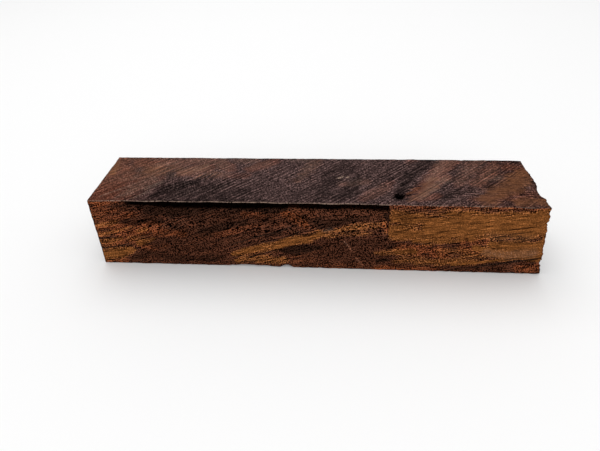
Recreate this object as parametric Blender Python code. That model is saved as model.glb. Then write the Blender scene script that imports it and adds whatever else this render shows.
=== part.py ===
"""Curly koa pen blank: a stick of figured koa, sawn on four sides, for turning on a lathe.

The stick lies along X on its lower face, with its middle over the origin and +Z up. Its front
face looks along -Y. The left end, at -X, is sawn clean. The right end, at +X, is rough: it leans,
runs out of square and has a bite out of its upper arris. All lengths are in metres.
"""

import math

import bmesh
import bpy
from mathutils import Vector

MM = 0.001

# overall size
LENGTH = 126.2 * MM
WIDTH = 24.0 * MM
HEIGHT = 22.8 * MM          # at the ends
CROWN = 0.35 * MM           # rise of the top face at mid length, along its front arris
CROWN_BACK_SHARE = 0.35     # share of that rise left along the back arris
ARRIS = 0.3 * MM            # worn width of an ordinary arris

# spacing of the points on the broad faces
STEP_X = 2.6 * MM
STEP_Y = 2.7 * MM
STEP_Z = 2.9 * MM

# the rough right end: how far each part stands back from the longest point
END_LEAN = 1.35 * MM        # the top, against the bottom
END_SKEW = 1.05 * MM        # the back, against the front
BITE_DEPTH = 1.3 * MM       # hollow in the upper arris
BITE_Y = -4.7 * MM
BITE_REACH = 3.4 * MM
BITE_FALL = 6.0 * MM        # the hollow has run out this far down the end
NOTCH_DEPTH = 0.4 * MM      # small cut in the front arris of the end
NOTCH_Z = 17.6 * MM
NOTCH_REACH = 1.1 * MM
LEDGE_DEPTH = 0.5 * MM      # splinter lost along the foot of the end
LEDGE_Z = 4.2 * MM
LEDGE_REACH = 1.2 * MM
END_RIPPLE = 0.12 * MM      # torn grain: depth, and wavelength across and up
END_RIPPLE_Y = 7.0 * MM
END_RIPPLE_Z = 4.8 * MM
END_REACH = 6.0 * MM        # the points this close to the end move with it

# the saw step on the front face: left of the seam the face is cut deeper, under a thin lip
SEAM_X = 20.4 * MM
SEAM_RUN = 0.3 * MM         # length over which the step rises
CUT_START_X = -51.5 * MM
CUT_RUN = 5.0 * MM          # the deeper cut fades in over this length
CUT_DEPTH = 0.55 * MM
CUT_FULL = 2.5 * MM         # it keeps its full depth this far below the top
CUT_FOOT = 12.5 * MM        # and has faded out this far below it
LIP = 0.5 * MM              # thickness of the lip under the top face
LIP_EDGE = 0.04 * MM        # the lip's underside spans this much height

# chips and dents
CHIP_X = -18.0 * MM         # long shallow chip in the lower front arris
CHIP_REACH = 10.0 * MM
CHIP_HEIGHT = 0.75 * MM
SPLINTER_X = -7.9 * MM      # deeper notch at the right end of that chip
SPLINTER_REACH = 2.6 * MM
SPLINTER_HEIGHT = 0.95 * MM
CHIP_RUN_IN = 1.7           # a chip reaches this much further under the stick than up its face
NICK_X = -8.4 * MM          # nick in the upper front arris
NICK_REACH = 1.0 * MM
NICK_HEIGHT = 0.35 * MM
KNOT_X = 24.4 * MM          # pin knot hole in the top face
KNOT_Y = -8.2 * MM
KNOT_REACH_X = 1.0 * MM
KNOT_REACH_Y = 1.7 * MM
KNOT_DEPTH = 1.1 * MM
CORNER_DROP = 0.5 * MM      # the top's back right corner is rubbed down
CORNER_REACH = 6.5 * MM

# shallow waves that the saw left: wavelength, height, phase
SAW_WAVES = ((31.0 * MM, 0.05 * MM, 0.4), (13.0 * MM, 0.035 * MM, 1.9), (7.3 * MM, 0.02 * MM, 4.1))
FRONT_SHIFT = 2.0           # the waves of the front and back faces start elsewhere
BACK_SHIFT = 4.0

KOA_COLOUR = (0.15, 0.066, 0.032, 1.0)
KOA_ROUGHNESS = 0.62


def ramp(start, end, value):
    """Goes smoothly from 0 at start to 1 at end."""
    t = min(max((value - start) / (end - start), 0.0), 1.0)
    return t * t * (3.0 - 2.0 * t)


def bell(value, middle, reach):
    """Height 1 at middle, falling to 0 at reach on either side."""
    t = min(abs(value - middle) / reach, 1.0)
    return (1.0 - t * t) ** 2


def waves(value, shift):
    """Sum of the saw's shallow waves at a place along the stick."""
    return sum(height * math.sin(2.0 * math.pi * value / length + phase + shift)
               for length, height, phase in SAW_WAVES)


def stations(low, high, step, extra=()):
    """Evenly spaced cuts between low and high, plus the extra ones that a feature needs."""
    count = max(1, round((high - low) / step))
    even = [low + (high - low) * i / count for i in range(1, count)]
    clear = step * 0.2
    kept = [s for s in even if all(abs(s - e) > clear for e in extra)]
    return sorted(kept + list(extra))


def cut_depth(x, z):
    """How far the front face is cut back left of the seam, under the lip."""
    along = ramp(CUT_START_X, CUT_START_X + CUT_RUN, x)
    along *= 1.0 - ramp(SEAM_X - SEAM_RUN / 2, SEAM_X + SEAM_RUN / 2, x)
    down = ramp(HEIGHT - CUT_FOOT, HEIGHT - CUT_FULL, z)
    under_lip = 1.0 if z < HEIGHT - LIP else 0.0
    return CUT_DEPTH * along * down * under_lip


def chip_height(x):
    """How far the lower front arris is chipped up the face."""
    return CHIP_HEIGHT * bell(x, CHIP_X, CHIP_REACH) + SPLINTER_HEIGHT * bell(x, SPLINTER_X, SPLINTER_REACH)


def end_setback(y, z):
    """How far the right end stands back from the longest point at this place on it."""
    lean = END_LEAN * z / HEIGHT
    skew = END_SKEW * (y + WIDTH / 2) / WIDTH
    bite = BITE_DEPTH * bell(y, BITE_Y, BITE_REACH) * ramp(HEIGHT - BITE_FALL, HEIGHT, z)
    near_front = 1.0 - ramp(-WIDTH / 2, -WIDTH / 4, y)
    notch = NOTCH_DEPTH * bell(z, NOTCH_Z, NOTCH_REACH) * near_front
    ledge = LEDGE_DEPTH * bell(z, LEDGE_Z, LEDGE_REACH)
    across = math.sin(2.0 * math.pi * y / END_RIPPLE_Y)
    upward = math.cos(2.0 * math.pi * z / END_RIPPLE_Z)
    return lean + skew + bite + notch + ledge + END_RIPPLE * (1.0 + across * upward) / 2


def top_rise(x, y):
    """How far the top face stands above the height at the ends: crown, saw waves, rubbed corner."""
    front_share = CROWN_BACK_SHARE + (1.0 - CROWN_BACK_SHARE) * ramp(0.0, -WIDTH / 2, y)
    crown = CROWN * (1.0 - (2.0 * x / LENGTH) ** 2) * front_share
    corner = CORNER_DROP * ramp(LENGTH / 2 - CORNER_REACH, LENGTH / 2, x) * ramp(0.0, WIDTH / 2, y)
    return crown + waves(x + y, 0.0) - corner


def shaped(point):
    """Moves a point of the plain bevelled bar to its place on the real stick."""
    x, y, z = point
    out = Vector(point)
    near = ARRIS * 1.5
    on_sole = z < ARRIS / 2
    on_top = z > HEIGHT - ARRIS / 2

    out.x -= end_setback(y, z) * ramp(LENGTH / 2 - END_REACH, LENGTH / 2, x)
    out.z += top_rise(x, y) * ramp(HEIGHT / 2, HEIGHT, z)
    if on_top:
        out.z -= KNOT_DEPTH * bell(x, KNOT_X, KNOT_REACH_X) * bell(y, KNOT_Y, KNOT_REACH_Y)

    # the upright faces keep straight along the sole
    above_sole = ramp(0.0, HEIGHT / 4, z)
    front = cut_depth(x, z) + waves(x + z, FRONT_SHIFT) * above_sole
    back = waves(x - z, BACK_SHIFT) * above_sole
    out.y += front * ramp(0.0, -WIDTH / 2, y) - back * ramp(0.0, WIDTH / 2, y)

    # chip and nick in the two front arrises
    if y < -WIDTH / 2 + near and z < near:
        out.z += chip_height(x)
        out.y += chip_height(x) * CHIP_RUN_IN * on_sole
    if y < -WIDTH / 2 + near and z > HEIGHT - near:
        nick = NICK_HEIGHT * bell(x, NICK_X, NICK_REACH)
        out += Vector((0.0, nick, -nick))

    if on_sole:
        out.z = 0.0
    return out


def plain_bar():
    """A bevelled bar of the full size, standing on Z = 0."""
    bar = bmesh.new()
    bmesh.ops.create_cube(bar, size=1.0)
    bmesh.ops.scale(bar, vec=(LENGTH, WIDTH, HEIGHT), verts=bar.verts)
    bmesh.ops.translate(bar, vec=(0.0, 0.0, HEIGHT / 2), verts=bar.verts)
    bmesh.ops.bevel(bar, geom=list(bar.edges), offset=ARRIS, offset_type="OFFSET", segments=1,
                    profile=0.5, affect="EDGES", clamp_overlap=True)
    return bar


def cut_stations():
    """Where the bar's skin is cut along X, Y and Z."""
    seam = (SEAM_X - SEAM_RUN / 2, SEAM_X + SEAM_RUN / 2)
    chip = (SPLINTER_X - SPLINTER_REACH / 2, SPLINTER_X, SPLINTER_X + SPLINTER_REACH / 2)
    knot = (KNOT_X - KNOT_REACH_X, KNOT_X, KNOT_X + KNOT_REACH_X)
    along = stations(-LENGTH / 2 + ARRIS, LENGTH / 2 - ARRIS, STEP_X, seam + chip + knot)
    hole = (KNOT_Y - KNOT_REACH_Y, KNOT_Y - KNOT_REACH_Y / 2, KNOT_Y, KNOT_Y + KNOT_REACH_Y / 2,
            KNOT_Y + KNOT_REACH_Y)
    bite = (BITE_Y, BITE_Y + BITE_REACH / 2)
    across = stations(-WIDTH / 2 + ARRIS, WIDTH / 2 - ARRIS, STEP_Y, hole + bite)
    lip = (HEIGHT - LIP - LIP_EDGE / 2, HEIGHT - LIP + LIP_EDGE / 2)
    ledge = (LEDGE_Z - LEDGE_REACH, LEDGE_Z, LEDGE_Z + LEDGE_REACH)
    notch = (NOTCH_Z - NOTCH_REACH, NOTCH_Z, NOTCH_Z + NOTCH_REACH)
    up = stations(ARRIS, HEIGHT - ARRIS, STEP_Z, lip + ledge + notch)
    return along, across, up


def slice_bar(bar):
    """Cuts the bar's skin across at every station, so that it has points to shape."""
    for axis, places in enumerate(cut_stations()):
        normal = Vector((0.0, 0.0, 0.0))
        normal[axis] = 1.0
        for place in places:
            skin = bar.verts[:] + bar.edges[:] + bar.faces[:]
            bmesh.ops.bisect_plane(bar, geom=skin, dist=1e-7, plane_co=normal * place, plane_no=normal)


def make_blank():
    """The whole stick as one closed mesh."""
    bar = plain_bar()
    slice_bar(bar)
    places = [shaped(v.co.copy()) for v in bar.verts]
    for vert, place in zip(bar.verts, places):
        vert.co = place
    bar.normal_update()
    floor = [f for f in bar.faces if all(v.co.z < 1e-7 for v in f.verts)]
    bmesh.ops.dissolve_faces(bar, faces=floor, use_verts=False)
    bmesh.ops.recalc_face_normals(bar, faces=bar.faces)
    mesh = bpy.data.meshes.new("koa_blank")
    bar.to_mesh(mesh)
    bar.free()
    blank = bpy.data.objects.new("koa_blank", mesh)
    bpy.context.scene.collection.objects.link(blank)
    return blank


def koa():
    """Bare sawn koa, between gold and red brown."""
    material = bpy.data.materials.new("koa")
    material.use_nodes = True
    shader = material.node_tree.nodes["Principled BSDF"]
    shader.inputs["Base Color"].default_value = KOA_COLOUR
    shader.inputs["Roughness"].default_value = KOA_ROUGHNESS
    shader.inputs["Metallic"].default_value = 0.0
    material.diffuse_color = KOA_COLOUR
    return material


def main():
    for old in list(bpy.data.objects):
        bpy.data.objects.remove(old, do_unlink=True)
    blank = make_blank()
    blank.data.materials.append(koa())


main()
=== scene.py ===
"""A curly koa pen blank on a pale floor in soft studio light, laid out as a Blender add-on.

The blank is one sawn stick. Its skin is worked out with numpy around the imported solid, its
figure is painted into the mesh by named streaks and layers, and the shader adds the fine grain.
Places on the stick are given in millimetres: `along` from its left end, `down` from its top
face, `back` from its front face.
"""

import math

import bpy
import numpy as np
from bpy.props import FloatProperty, FloatVectorProperty, PointerProperty
from mathutils import Matrix, Vector


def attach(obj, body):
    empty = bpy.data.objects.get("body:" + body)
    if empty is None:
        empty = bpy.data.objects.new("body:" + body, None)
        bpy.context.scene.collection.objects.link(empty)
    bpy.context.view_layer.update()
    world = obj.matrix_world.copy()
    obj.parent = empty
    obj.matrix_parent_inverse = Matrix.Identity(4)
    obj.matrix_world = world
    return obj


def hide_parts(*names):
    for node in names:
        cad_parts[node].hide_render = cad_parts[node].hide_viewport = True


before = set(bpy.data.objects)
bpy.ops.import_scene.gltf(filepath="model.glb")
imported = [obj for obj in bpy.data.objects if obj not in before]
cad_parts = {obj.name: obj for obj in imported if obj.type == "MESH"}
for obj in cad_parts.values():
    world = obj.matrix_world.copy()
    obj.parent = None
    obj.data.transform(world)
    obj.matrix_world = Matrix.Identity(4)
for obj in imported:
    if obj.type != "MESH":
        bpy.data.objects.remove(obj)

bl_info = {
    "name": "Curly koa pen blank",
    "version": (1, 0, 0),
    "blender": (4, 5, 0),
    "location": "View3D > Sidebar > Koa",
    "description": "Builds a sawn koa pen blank and its studio stage",
    "category": "Object",
}

MM = 0.001
FLOOR_REACH = 6.0           # metres from the middle
OVERHEAD_PLACE, OVERHEAD_SIZE = (-0.1, 0.25, 0.7), 0.6
FRONT_PLACE, FRONT_SIZE = (0.15, -0.65, 0.45), 0.5
STICK_MIDDLE = (0.0, 0.0, 0.01)
NODE = "koa_blank"
PIECE = "koa_stick"
SLOT = "koa"
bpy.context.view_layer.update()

# how the layers of the wood run through the stick, as rise per mm along it
RISE_ENDS = 0.18            # gentle, towards the right end
RISE_LEFT = 0.17            # added over the left half
RISE_SWEEP = 0.06           # added again where the grain sweeps up
SWEEP_AT, SWEEP_REACH = 24.0, 16.0
LEFT_FROM, LEFT_TO = (0.0, 12.0), (58.0, 82.0)      # where the left half's share comes and goes
LAYER_DRIFT = 0.7           # a layer lies this much further right per mm towards the back

# shallow waves that the saw left: wavelength, height, phase
SAW_WAVES = ((31.0, 0.05, 0.4), (13.0, 0.035, 1.9), (7.3, 0.02, 4.1))

# skin of the stick: spacing of its points in mm
CELL = 0.385
ARRIS_POINTS = (0.0, 0.1, 0.22, 0.38)
TOUCH = 1e-6                # a point closer than this lies on a face

# large odd numbers that mix a noise cell's indices, its seed and its bits
CELL_MIX = (374761393, 668265263, 1274126177)
SEED_MIX, BIT_MIX = 97531, 1103515245

# forms in mm: x and y from the stick's middle, z above its sole, and how far each reaches
SEAM_X = 20.4               # where the saw's deeper cut ends
SEAM_POINTS = (20.2, 20.32, 20.5, 20.62)
SEAM_HALF = 0.15
LIP_HALF = 0.03             # half the height over which the lip steps back
CUT_START, CUT_RUN = -51.5, 5.0
CUT_FULL, CUT_FOOT = 2.5, 12.5              # below the top: its full depth, and its foot
CHIP_X, CHIP_REACH = -18.0, 10.0
SPLINTER_X, SPLINTER_REACH = -7.9, 2.6
CHIP_SLANT = 1.7            # height of the chips' plane per mm that it runs in
NICK_X, NICK_DEPTH = -8.4, 0.35
NICK_REACH = (1.0, 1.2, 1.2)
KNOT_X, KNOT_Y = 23.4, -7.8
KNOT_REACH = (1.4, 2.0)
RUBBED_RUN, RUBBED_DROP = 6.5, 0.5          # the rubbed down back right corner
BITE_Y, BITE_REACH, BITE_HEIGHT = -4.7, 3.4, 6.0
NOTCH_Z, NOTCH_REACH, NOTCH_DEPTH = 17.6, 1.1, 0.4
LEDGE_Z, LEDGE_REACH, LEDGE_DEPTH = 4.2, 1.2, 0.5
END_RUN = 3.0               # how far the rough end's shape runs into the stick

# paint in mm: along from the left end and back from the front face, and how far it reaches
SEAM = 83.5
SEAM_LINE_REACH = 0.28
# painted shade inside the knot hole: where it lies along and back
HOLE_ALONG, HOLE_BACK = (86.5, 2.0), (4.3, 1.8)     # the dark of the knot hole
# the top's grey, weathered skin with a painted sheen, is strongest between these places
GREY_FROM, GREY_TO = (8.0, 28.0), (92.0, 118.0)     # the old grey skin of the top
SAWN_CLEAR, SAWN_WORN = (18.0, 26.0), (40.0, 50.0)  # its saw lines grow clear, then fainter
COMBED_FROM = (70.0, 90.0)
LIP_SHADE_START = 9.0
# how far down the shade under the lip reaches at places along the stick
LIP_SHADE = {9: 1.0, 14: 2.0, 24: 2.9, 40: 3.1, 50: 3.1, 58: 2.3, 70: 2.8, 84: 2.8}

# tones that belong to the layers themselves, between a few of their levels
LAYER_LEVELS = (-10, 2, 6, 13, 15, 17.5, 20, 24, 27, 31, 34, 37, 42, 47, 52, 60, 75)
LAYER_TONES = {
    "gold": (0.3, 0, 0.1, 0.2, 0.55, 0.1, 0.6, 0.1, 0, 0.1, 0.5, 0.3, 0.35, 0.3, 0.1, 0.3, 0.4),
    "red": (0.3, 0.5, 0.6, 0.6, 0.3, 0.5, 0.3, 0.5, 0.3, 0.2, 0.2, 0.3, 0.2, 0.4, 0.4, 0.4, 0.3),
    "dark": (0.1, 0.4, 0.1, 0, 0, 0.3, 0, 0.2, 0.3, 0.3, 0, 0.1, 0, 0.1, 0.3, 0, 0.1),
}

# the saw: its fuzz on the front and top, the slant of its lines on the top, and their number per mm
FUZZ_STEEP = math.radians(62.0)
SAW_SLANT = math.radians(44.0)
SAW_PITCH, SAW_PITCH_DROP = 0.9125, 0.0033

# contrast from fleck to fleck in brown wood, and how much calmer red and gold wood are
CONTRAST, RED_CALM = 8.6, 3.6
GOLD_CALM, GOLD_RETURN = 1.75, 0.88
BRIGHTEST = 4.5             # a fleck is at most this much brighter than its wood


def length(name, description, millimetres):
    """A length that a user may change, given in millimetres."""
    return FloatProperty(name=name, description=description, default=millimetres * MM,
                         min=0.0, unit="LENGTH", precision=5)


def colour(name, description, red, green, blue):
    """A colour that a user may change."""
    return FloatVectorProperty(name=name, description=description, subtype="COLOR", size=3,
                               min=0.0, max=1.0, default=(red, green, blue))


def power(name, description, watts):
    """A lamp's power that a user may change."""
    return FloatProperty(name=name, description=description, default=watts, unit="POWER")


def angle(name, description, degrees):
    """An angle that a user may change, given in degrees."""
    return FloatProperty(name=name, description=description, default=math.radians(degrees),
                         subtype="ANGLE")


class KoaSizes(bpy.types.PropertyGroup):
    """Sizes of the stick and of its saw step, chips and rough end."""
    stick: length("Length", "Length of the stick", 126.2)
    width: length("Width", "Width from front to back", 24.0)
    height: length("Height", "Height at the ends", 22.8)
    crown: length("Crown", "Rise of the top face at mid length", 0.35)
    arris: length("Arris wear", "Worn width of an ordinary arris", 0.26)
    lean: length("End lean", "Setback of the rough end's top", 1.35)
    skew: length("End skew", "Setback of the rough end's back", 1.05)
    bite: length("End bite", "Hollow in the upper arris of the rough end", 1.3)
    cut: length("Saw step", "Depth of the deeper cut on the front face", 0.55)
    lip: length("Lip", "Thickness of the lip above the deeper cut", 0.5)
    chip: length("Chip", "Height of the long chip in the lower front arris", 0.75)
    splinter: length("Splinter", "Height of the notch beside that chip", 0.95)
    knot: length("Knot hole", "Depth of the pin knot hole", 1.1)
    tear: length("Torn grain", "Depth of the torn patches", 0.16)


class KoaColours(bpy.types.PropertyGroup):
    """Colours of the bare wood."""
    brown: colour("Brown", "Ground colour of the heartwood", 0.0235, 0.0062, 0.0025)
    gold: colour("Gold", "Golden streaks", 0.190, 0.0670, 0.0178)
    red: colour("Red", "Red brown streaks", 0.100, 0.0245, 0.0072)
    dark: colour("Dark", "Near black streaks", 0.0060, 0.0021, 0.0011)
    # pale is also the colour of the painted highlight on the brightest flecks
    pale: colour("Pale", "Torn fibres and worn arrises", 0.340, 0.232, 0.175)
    # the top's grey: weathered skin and a painted sheen
    weathered_and_sheen: colour("Weathered", "Greyed skin of the old sawn top", 0.085, 0.060, 0.060)


class KoaStage(bpy.types.PropertyGroup):
    """Floor, lamps and camera."""
    floor: colour("Floor", "Pale floor", 0.90, 0.90, 0.90)
    sky: FloatProperty(name="Sky", description="Strength of the even light all round", default=0.72)
    overhead: power("Overhead", "Power of the lamp above", 2.0)
    front: power("Front", "Power of the lamp on the camera's side", 1.5)
    lens: FloatProperty(name="Lens", description="Focal length in millimetres", default=30.914)
    camera: FloatVectorProperty(name="Camera place", description="Where the camera stands", size=3,
                                subtype="TRANSLATION", default=(0.00926, -0.12407, 0.10327))
    turn: angle("Turn", "Camera turned to the right of the stick's square", -6.151)
    dip: angle("Dip", "Camera tilted down", 31.185)
    roll: angle("Roll", "Camera rolled about its view", -2.657)
    shift: FloatProperty(name="Shift", description="Vertical shift of the frame", default=-0.1008)


# Soft-edged, frayed streaks of each tone on the two painted faces, from left to right. Each has its
# strength and then points along its middle. A point is its place along the stick, its place across
# the face and the half width there. Across is down from the top on the front face, and forward
# from the back on the top face.
FRONT_GOLD = (
    (0.8, (0, 19.6, 2), (4.5, 18.8, 2), (9, 17.4, 1.4)),  # lower left corner
    (0.22, (0, 15.6, 1.4), (5, 16, 1.2)),
    (0.5, (0.5, 14.8, 0.9), (4, 14.2, 1), (7, 13.4, 0.6)),
    (0.4, (1, 8.7, 0.9), (7, 7.4, 0.8), (13, 5.6, 0.7)),
    (0.4, (1, 12, 0.8), (6, 10.8, 0.8), (12, 8.8, 0.6)),
    (0.36, (9.6, 13.2, 1), (14, 12.6, 1.1)),
    (0.7, (12, 14.8, 1.1), (14.5, 14.3, 1.4), (16.5, 13.2, 0.9)),
    (0.45, (12.5, 10.6, 0.7), (15, 9.8, 0.9)),
    (0.2, (27.5, 18, 1.2), (33, 17.4, 1.4)),
    (0.7, (39.6, 18.2, 0.8), (42.6, 17.2, 1.4), (47.6, 15.8, 1.7), (53, 14.8, 1.3)),  # the gold band
    (0.5, (41, 20.8, 1.1), (43.4, 19.6, 1.9), (48, 19.6, 2), (53, 20, 1.6)),
    (0.5, (50.6, 20.2, 1.3), (54.4, 20, 1.3)),
    (0.9, (52, 14.8, 1.3), (56, 13.4, 1.7), (60.5, 11.7, 1.8), (65, 10, 1.4)),  # on past the middle
    (0.46, (64, 9.6, 1.3), (70, 8.4, 1.5), (77, 7.4, 1.8), (83.4, 6.2, 1.6)),  # to the seam
    (0.45, (67, 11, 1), (74, 10, 1.2), (79, 9.8, 0.8)),
    (0.68, (80.6, 16.6, 1.4), (86, 16, 1.6), (91, 15.6, 1.2)),
    (0.72, (84.6, 4.2, 2.6), (92, 4.6, 2.6), (97, 6, 3)),
    (0.8, (84.6, 9, 2.4), (92, 9.6, 2.6)),
    (0.42, (86, 19.4, 1.6), (92, 18.6, 2), (99, 19.6, 1.6)),
    (0.75, (91, 11.6, 1.4), (95, 11.2, 1.7), (100, 11, 1.5)),
    (0.55, (95.6, 19.2, 1.6), (102.4, 18.6, 1.4), (108, 18.8, 1.4)),
    (1.1, (96, 7, 4.4), (106, 6.2, 4.4), (116, 6, 4.6), (128, 6.2, 5)),  # the plain gold end
    (0.4, (98, 15.6, 1.6), (104, 15.8, 1.9), (110, 16.6, 1.4)),
    (1.3, (101.6, 20.1, 0.3), (110, 18.8, 0.4), (118, 17.3, 0.4), (127, 15.8, 0.4)),
    (1.1, (107.4, 13.8, 0.9), (112, 15.2, 1.6), (116, 15.4, 2.4), (124, 15.4, 2.6)),
    (0.85, (112, 13, 1.6), (119, 13.2, 2.6), (128, 13.4, 2.8)),
)
FRONT_RED = (
    (0.42, (0, 4.6, 3.2), (9, 4.4, 2.8), (12.6, 5, 1.4)),
    (0.5, (0, 10, 3), (12, 8.5, 2.4), (19, 8, 1.8)),
    (0.55, (0, 22.2, 1.1), (7, 22, 1)),
    (0.45, (1, 15.5, 1.2), (9, 14, 1.4), (16, 16.6, 1.6)),
    (0.6, (5.6, 11.2, 1.7), (12, 10.6, 1.8), (20, 10.8, 1.5), (26, 11, 1.2)),
    (0.35, (16, 16.4, 1), (20, 15.6, 1)),
    (0.3, (31, 11.8, 1.4), (38, 10.6, 1.4), (45, 8.4, 1.4)),
    (0.5, (44.6, 4.4, 1.6), (49, 4.4, 1.6)),
    (0.2, (46, 7.6, 1.4), (54, 6.8, 1.6)),
    (0.25, (47, 4.4, 2), (55, 4, 2.4), (63, 3.4, 2)),
    (0.7, (55.4, 4, 1.4), (59, 5.4, 1.7), (61, 7.6, 1.2)),
    (0.2, (57, 19.8, 2), (66, 20.8, 1.6), (76, 21.6, 1.2)),
    (0.9, (71.6, 12.4, 0.24), (73.6, 15.4, 0.26)),
    (0.9, (75, 18.3, 0.24), (76.8, 21.2, 0.26)),
    (0.7, (80.6, 22, 0.9), (86, 21.6, 0.9)),
    (0.65, (82.4, 6.6, 0.9), (83.6, 8.6, 0.9)),
    (0.45, (84, 22, 1.2), (98, 22, 1)),
    (0.45, (84, 0.6, 0.9), (96, 0.6, 0.8), (110, 0.4, 0.6), (127, 0.4, 0.5)),
    (0.6, (87, 14.4, 2), (94, 14.8, 2.6), (99, 16, 2.2)),
    (0.5, (103.6, 14.4, 1.5), (108, 15.2, 1.8)),
    (0.75, (104, 11.6, 1.2), (110, 11.2, 1.2)),
    (0.5, (120, 20.6, 1.8), (127, 19.8, 1.8)),
)
FRONT_DARK = (
    (0.6, (5.5, 2.2, 0.5), (10, 1.6, 1), (14, 1.7, 1.5)),
    (0.55, (9, 3.2, 0.6), (12.5, 3, 0.9)),
    (0.62, (9, 7.4, 1.3), (14, 7.2, 1.6), (20, 6.6, 1.5)),
    (0.5, (10.4, 20.4, 1.2), (14.5, 19.2, 2), (20, 19, 1.8)),
    # next: painted shadow under the lip, over dark wood
    (1.4, (12, 1.3, 0.7), (18, 1.6, 1.8), (30, 1.5, 2), (44, 1.2, 1.5)),  # under the lip
    (0.5, (12.4, 5.4, 1.4), (16.6, 6, 1.6)),
    (0.55, (16, 16.4, 1.4), (20, 15.8, 1.3)),
    (0.45, (16, 14.5, 3), (24, 11.5, 3.5), (32, 10, 3)),
    (0.8, (16.5, 4, 1.6), (23, 3.8, 2.6), (30, 3.4, 1.8)),
    (0.5, (20, 20.2, 1.6), (28, 20.2, 1.8), (36, 19.4, 1.8)),
    (0.4, (20, 16.5, 3), (30, 15.5, 3.5), (36, 14, 2.5)),
    (0.55, (30, 3.6, 2.2), (40, 3.2, 2), (48, 2, 1.2)),
    (0.7, (30.6, 10.2, 1.3), (34.4, 9.4, 1.4), (39.4, 7.6, 1.7), (44, 7, 1.2)),
    (0.6, (30.6, 11.4, 1), (34, 11.2, 1)),
    (0.5, (31, 6.8, 2.4), (40, 6, 2.6), (50, 5.4, 2.4), (60, 5, 1.8)),
    (0.8, (31.6, 20.9, 0.7), (34.2, 20.5, 0.7)),
    # next: painted shadow under the lip, over dark wood
    (1.5, (43, 1.6, 1.8), (50, 1.8, 2), (55, 1.6, 1.4)),  # under the lip
    (0.62, (50, 10.6, 1.3), (54, 10.2, 1.3)),
    (1.6, (53.6, 16.6, 0.6), (57, 16.3, 1.5), (61, 15.6, 1.3), (65, 14.8, 0.6)),  # the dark eye
    (0.6, (60, 1.2, 1), (64, 1.6, 1.4), (70, 1.6, 1.2)),
    (0.45, (60, 8, 0.5), (66, 6.8, 0.7)),
    (0.5, (60.6, 10.8, 0.9), (63.6, 9.6, 0.8)),
    (0.62, (61, 5.4, 0.8), (67, 6.6, 1.9), (72, 6, 1.3), (78, 4.4, 1)),
    (0.7, (65, 7.8, 1.1), (70, 7.2, 1.3)),
    (0.42, (66, 13.4, 2), (74, 13.4, 2.8), (82, 12.6, 2.8)),
    (0.38, (66, 18, 2.6), (74, 17.6, 3), (84, 17, 2.6)),
    (0.4, (70, 11.6, 1.2), (74, 10.8, 1.2)),
    (0.35, (76, 1.4, 0.6), (81, 2, 0.8), (83.4, 2.4, 0.9)),
    (1, (80.9, 19.4, 0.5), (83.8, 18.9, 0.7)),  # a knot at the seam's foot
    (0.85, (82.6, 3.6, 0.7), (83.4, 5, 0.7)),
    (0.25, (84, 0.8, 1), (90, 1, 1), (94, 0.7, 0.5)),
    (0.55, (84, 14, 1.6), (86.6, 13.2, 0.9)),
    (0.4, (85, 20.8, 1.1), (90, 21, 1.1)),
    (0.22, (90, 16.4, 1.6), (96, 16.8, 1.8), (103, 16.6, 1.4)),
    (0.8, (93.6, 16.4, 0.4), (95, 16.4, 0.4)),
    (0.8, (95.6, 14, 0.45), (96.8, 13.4, 0.4)),
    (0.32, (102.6, 21.6, 0.4), (107, 21, 0.9), (112, 20.7, 1.2), (117, 20.3, 0.7)),
    (0.5, (104.6, 10.6, 0.5), (105.2, 13, 0.5)),
    (0.45, (108.6, 11.8, 0.4), (109.4, 10.8, 0.4)),
    (0.14, (117.6, 19.4, 1), (122.4, 18.8, 1)),
)
FRONT_PALE = (
    (0.2, (66, 9, 0.5), (68.4, 8.6, 0.5)),
    (0.4, (71.6, 12.4, 0.18), (73.6, 15.4, 0.2)),  # two fine scratches
    (0.38, (75, 18.3, 0.18), (76.8, 21.2, 0.2)),
    (0.23, (110.6, 15.2, 1.4), (117, 16, 1.7), (123, 15.2, 1.7)),
    (0.08, (110.6, 9.8, 1.6), (121, 9.8, 1.6)),
)
FRONT_WOOLLY = (
    (0.8, (16, 19, 4), (26, 15, 6), (34, 16, 6)),
    (0.6, (42, 5, 3), (60, 4, 3), (80, 3, 3)),
    (1, (64, 17, 4), (72, 16, 6), (82, 17, 6)),
    (0.8, (86, 19, 4), (94, 18, 4), (100, 18, 3)),
)
FRONT_STREAKS = {"gold": FRONT_GOLD, "red": FRONT_RED, "dark": FRONT_DARK,
                 "pale": FRONT_PALE, "woolly": FRONT_WOOLLY}

TOP_GOLD = (
    (0.6, (0.8, 4.5, 1.5), (1.6, 9.5, 1.5)),
    (0.4, (13, 8, 3.4), (19, 7.4, 3), (24.6, 8.2, 2.2), (29.4, 5.8, 2)),
    (0.55, (27.7, 12.4, 0.35), (29.2, 10.1, 0.35)),
    (0.6, (29.2, 12.8, 0.3), (31.6, 8.9, 0.4)),
    (0.55, (31.2, 13, 0.3), (33.6, 8.7, 0.35)),
    (0.4, (33.2, 12.8, 0.3), (35.2, 9.1, 0.3)),
    (0.26, (57.7, 13.2, 1.6), (60.6, 7.6, 2.4), (62.8, 1.3, 2.4)),
    (0.5, (88.4, 18.7, 0.3), (90.8, 17.5, 0.3)),
    (0.5, (88.8, 16.5, 0.3), (91.8, 15.9, 0.3)),
    (0.5, (88.8, 21.8, 0.9), (92.4, 18.6, 2.1), (96.4, 14.4, 2)),
    (0.5, (93.8, 14.3, 1.2), (97, 10.9, 1.3)),
    (0.55, (109.2, 20.8, 3.4), (116.2, 14.9, 4), (122.2, 7.6, 3.4)),
    (0.45, (117.2, 21.6, 2.4), (125.2, 21.2, 2.4)),
)
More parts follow.
